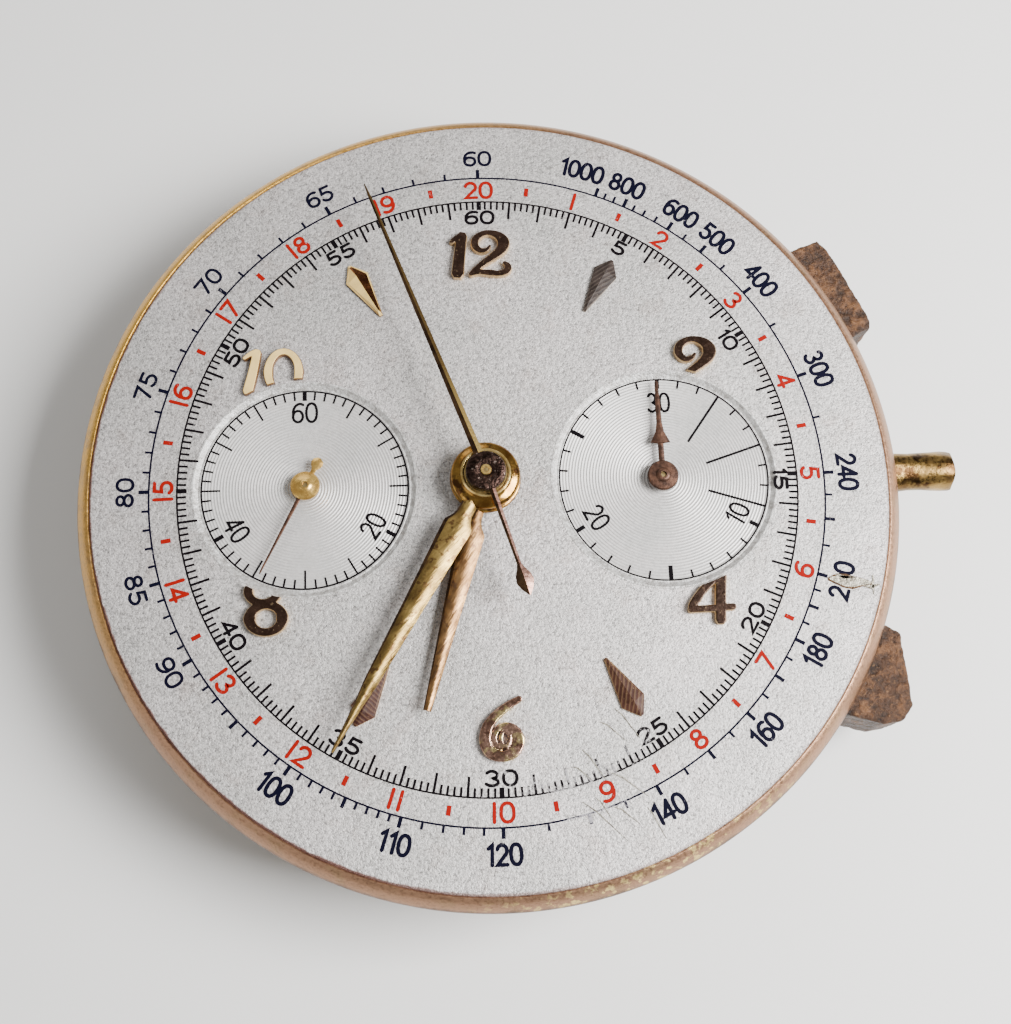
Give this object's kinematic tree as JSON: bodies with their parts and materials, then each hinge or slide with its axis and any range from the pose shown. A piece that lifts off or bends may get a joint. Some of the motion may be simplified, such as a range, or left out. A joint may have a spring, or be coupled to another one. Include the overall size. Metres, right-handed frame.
{
  "type": "chronograph watch movement",
  "caption": "Hand-wound chronograph wristwatch movement with dial, running seconds and minute recorder subdials, hands, winding stem and pusher levers.",
  "frame": {"origin": "on the movement's axis at the face of the main plate that the dial rests on", "axes": "+Z out of the dial, +X towards 3 o'clock along the winding stem, +Y towards 12 o'clock"},
  "size_m": [0.0376, 0.0348, 0.0081],
  "materials": {
    "plate": "frosted gilt",
    "bridges": "fine brushed gilt",
    "dial_silver": "grained silvered lacquer",
    "numeral_gold": "tarnished gold",
    "hand_gilt": "worn gilt",
    "recorder_brown": "oxidised",
    "wheel_brass": "brushed",
    "sleeve_brass": "worn",
    "steel": "brushed",
    "blued_steel": "blued",
    "lever_rust": "rusted",
    "ruby": "polished"
  },
  "bodies": {
    "movement": {"main_plate": "plate", "barrel_bridge": "bridges", "train_bridge": "bridges", "pallet_cock": "bridges", "balance_cock": "bridges", "chronograph_bridge": "bridges", "plate_screws": "blued_steel", "shoulder_screws": "blued_steel", "jewels": "ruby", "dial": "dial_silver", "applied_numerals": "numeral_gold", "click_spring": "steel", "setting_lever_spring": "steel", "hairspring_stud": "steel", "regulator": "steel", "transmission_lever": "steel", "recorder_jumper": "steel", "lever_springs": "steel"},
    "barrel": {"barrel_drum": "wheel_brass", "barrel_cover": "wheel_brass"},
    "winding_arbor": {"barrel_arbor": "steel", "ratchet_wheel": "steel", "mainspring": "steel"},
    "crown_wheel": {"crown_wheel": "steel"},
    "click": {"click": "steel"},
    "winding_pinion": {"winding_pinion": "steel"},
    "winding_stem": {"winding_stem": "steel", "stem_sleeve": "sleeve_brass"},
    "clutch": {"clutch_wheel": "steel"},
    "setting_lever": {"setting_lever": "steel"},
    "yoke": {"yoke": "steel"},
    "setting_wheel": {"setting_wheel": "steel"},
    "intermediate_wheel": {"intermediate_setting_wheel": "wheel_brass"},
    "minute_wheel": {"minute_wheel": "wheel_brass"},
    "minute_hand": {"cannon_pinion": "steel", "minute_hand": "hand_gilt"},
    "hour_hand": {"hour_wheel": "wheel_brass", "hour_hand": "hand_gilt"},
    "centre_wheel": {"centre_wheel": "wheel_brass"},
    "third_wheel": {"third_wheel": "wheel_brass"},
    "fourth_wheel": {"fourth_wheel": "wheel_brass", "driving_wheel": "wheel_brass", "sub_seconds_hand": "hand_gilt"},
    "escape_wheel": {"escape_wheel": "steel"},
    "pallet_fork": {"pallet_fork": "steel", "pallet_stones": "ruby"},
    "balance": {"balance_wheel": "wheel_brass", "balance_staff": "steel", "hairspring": "blued_steel"},
    "chronograph_runner": {"chronograph_runner": "wheel_brass", "runner_heart": "steel", "chronograph_seconds_hand": "hand_gilt"},
    "transmission_wheel": {"transmission_wheel": "wheel_brass"},
    "minute_recorder": {"minute_recorder_wheel": "wheel_brass", "recorder_hand": "recorder_brown"},
    "coupling_lever": {"coupling_lever": "steel"},
    "coupling_wheel": {"coupling_wheel": "wheel_brass"},
    "hammer": {"hammer": "steel"},
    "operating_lever": {"operating_lever": "lever_rust"},
    "reset_lever": {"reset_lever": "lever_rust"}
  },
  "joints": [
    {"name": "barrel_turn", "type": "hinge", "parent": "movement", "child": "barrel", "pos_m": [0.00376, 0.00448, 0], "axis": [0, 0, 1], "continuous": true},
    {"name": "ratchet_turn", "type": "hinge", "parent": "movement", "child": "winding_arbor", "pos_m": [0.00376, 0.00448, 0], "axis": [0, 0, 1], "continuous": true},
    {"name": "crown_wheel_turn", "type": "hinge", "parent": "movement", "child": "crown_wheel", "pos_m": [0.01027, 0.00072, 0], "axis": [0, 0, 1], "continuous": true},
    {"name": "click_turn", "type": "hinge", "parent": "movement", "child": "click", "pos_m": [0.00266, 0.01073, 0], "axis": [0, 0, 1], "range_deg": [-14, 0], "stiffness_Nm_per_rad": 0.000002},
    {"name": "crown_turn", "type": "hinge", "parent": "movement", "child": "winding_pinion", "pos_m": [0.0125, 0.0005, -0.0016], "axis": [1, 0, 0], "continuous": true},
    {"name": "stem_pull", "type": "slide", "parent": "winding_pinion", "child": "winding_stem", "axis": [1, 0, 0], "range_m": [0, 0.0006]},
    {"name": "clutch_slide", "type": "slide", "parent": "winding_pinion", "child": "clutch", "axis": [1, 0, 0], "range_m": [-0.0006, 0]},
    {"name": "setting_lever_turn", "type": "hinge", "parent": "movement", "child": "setting_lever", "pos_m": [0.0137, 0.0034, 0], "axis": [0, 0, 1], "range_deg": [0, 12.4]},
    {"name": "yoke_turn", "type": "hinge", "parent": "movement", "child": "yoke", "pos_m": [0.0114, 0.0043, 0], "axis": [0, 0, 1], "range_deg": [-12.4, 0]},
    {"name": "setting_wheel_turn", "type": "hinge", "parent": "movement", "child": "setting_wheel", "pos_m": [0.0089, 0.0005, 0], "axis": [0, 0, 1], "continuous": true},
    {"name": "intermediate_wheel_turn", "type": "hinge", "parent": "movement", "child": "intermediate_wheel", "pos_m": [0.00713, 0.00302, 0], "axis": [0, 0, 1], "continuous": true},
    {"name": "minute_wheel_turn", "type": "hinge", "parent": "movement", "child": "minute_wheel", "pos_m": [0.00281, 0.00184, 0], "axis": [0, 0, 1], "continuous": true},
    {"name": "minute_hand_turn", "type": "hinge", "parent": "movement", "child": "minute_hand", "pos_m": [0, 0, 0], "axis": [0, 0, 1], "continuous": true},
    {"name": "hour_hand_turn", "type": "hinge", "parent": "movement", "child": "hour_hand", "pos_m": [0, 0, 0], "axis": [0, 0, 1], "continuous": true},
    {"name": "centre_turn", "type": "hinge", "parent": "movement", "child": "centre_wheel", "pos_m": [0, 0, 0], "axis": [0, 0, 1], "continuous": true},
    {"name": "third_turn", "type": "hinge", "parent": "movement", "child": "third_wheel", "pos_m": [-0.00388, -0.00227, 0], "axis": [0, 0, 1], "continuous": true},
    {"name": "fourth_turn", "type": "hinge", "parent": "movement", "child": "fourth_wheel", "pos_m": [-0.00747, 0, 0], "axis": [0, 0, 1], "continuous": true},
    {"name": "escape_turn", "type": "hinge", "parent": "movement", "child": "escape_wheel", "pos_m": [-0.00866, -0.00326, 0], "axis": [0, 0, 1], "continuous": true},
    {"name": "pallet_swing", "type": "hinge", "parent": "movement", "child": "pallet_fork", "pos_m": [-0.00743, -0.00538, 0], "axis": [0, 0, 1], "range_deg": [-4, 4]},
    {"name": "balance_swing", "type": "hinge", "parent": "movement", "child": "balance", "pos_m": [-0.00531, -0.00791, 0], "axis": [0, 0, 1], "range_deg": [-270, 270], "stiffness_Nm_per_rad": 0.00000025, "deforming": ["hairspring"]},
    {"name": "runner_turn", "type": "hinge", "parent": "movement", "child": "chronograph_runner", "pos_m": [0, 0, 0], "axis": [0, 0, 1], "continuous": true},
    {"name": "transmission_turn", "type": "hinge", "parent": "movement", "child": "transmission_wheel", "pos_m": [0.00402, -0.00126, 0], "axis": [0, 0, 1], "continuous": true},
    {"name": "recorder_turn", "type": "hinge", "parent": "movement", "child": "minute_recorder", "pos_m": [0.00747, 0, 0], "axis": [0, 0, 1], "continuous": true},
    {"name": "coupling_lever_turn", "type": "hinge", "parent": "movement", "child": "coupling_lever", "pos_m": [-0.00747, 0, 0], "axis": [0, 0, 1], "range_deg": [-2.1, 0.6], "stiffness_Nm_per_rad": 0.00002},
    {"name": "coupling_wheel_turn", "type": "hinge", "parent": "coupling_lever", "child": "coupling_wheel", "pos_m": [-0.00384, 0.00289, 0], "axis": [0, 0, 1], "continuous": true},
    {"name": "hammer_turn", "type": "hinge", "parent": "movement", "child": "hammer", "pos_m": [0.0042, -0.0086, 0], "axis": [0, 0, 1], "range_deg": [-2.5, 2]},
    {"name": "operating_lever_press", "type": "hinge", "parent": "movement", "child": "operating_lever", "pos_m": [0.0075, 0.012, 0], "axis": [0, 0, 1], "range_deg": [-2.4, 0], "stiffness_Nm_per_rad": 0.0005},
    {"name": "reset_lever_press", "type": "hinge", "parent": "movement", "child": "reset_lever", "pos_m": [0.0095, -0.0114, 0], "axis": [0, 0, 1], "range_deg": [0, 2.4], "stiffness_Nm_per_rad": 0.0005}
  ],
  "couplings": [
    {"joint": "crown_wheel_turn", "follows": "ratchet_turn", "ratio": -1.9375},
    {"joint": "crown_turn", "follows": "ratchet_turn", "ratio": -3.1},
    {"joint": "clutch_slide", "follows": "stem_pull", "ratio": -1},
    {"joint": "setting_lever_turn", "follows": "stem_pull", "rad_per_m": 344.83},
    {"joint": "yoke_turn", "follows": "stem_pull", "rad_per_m": -341.3},
    {"joint": "minute_wheel_turn", "follows": "minute_hand_turn", "ratio": -0.33333},
    {"joint": "hour_hand_turn", "follows": "minute_hand_turn", "ratio": 0.083333},
    {"joint": "intermediate_wheel_turn", "follows": "minute_hand_turn", "ratio": 0.42857},
    {"joint": "setting_wheel_turn", "follows": "minute_hand_turn", "ratio": -0.75},
    {"joint": "third_turn", "follows": "fourth_turn", "ratio": -0.13333},
    {"joint": "centre_turn", "follows": "fourth_turn", "ratio": 0.016667},
    {"joint": "barrel_turn", "follows": "fourth_turn", "ratio": -0.0020833},
    {"joint": "escape_turn", "follows": "fourth_turn", "ratio": -10},
    {"joint": "coupling_wheel_turn", "follows": "fourth_turn", "ratio": -2.2222},
    {"joint": "transmission_turn", "follows": "runner_turn", "ratio": -0.0625},
    {"joint": "recorder_turn", "follows": "runner_turn", "ratio": 0.033333}
  ]
}
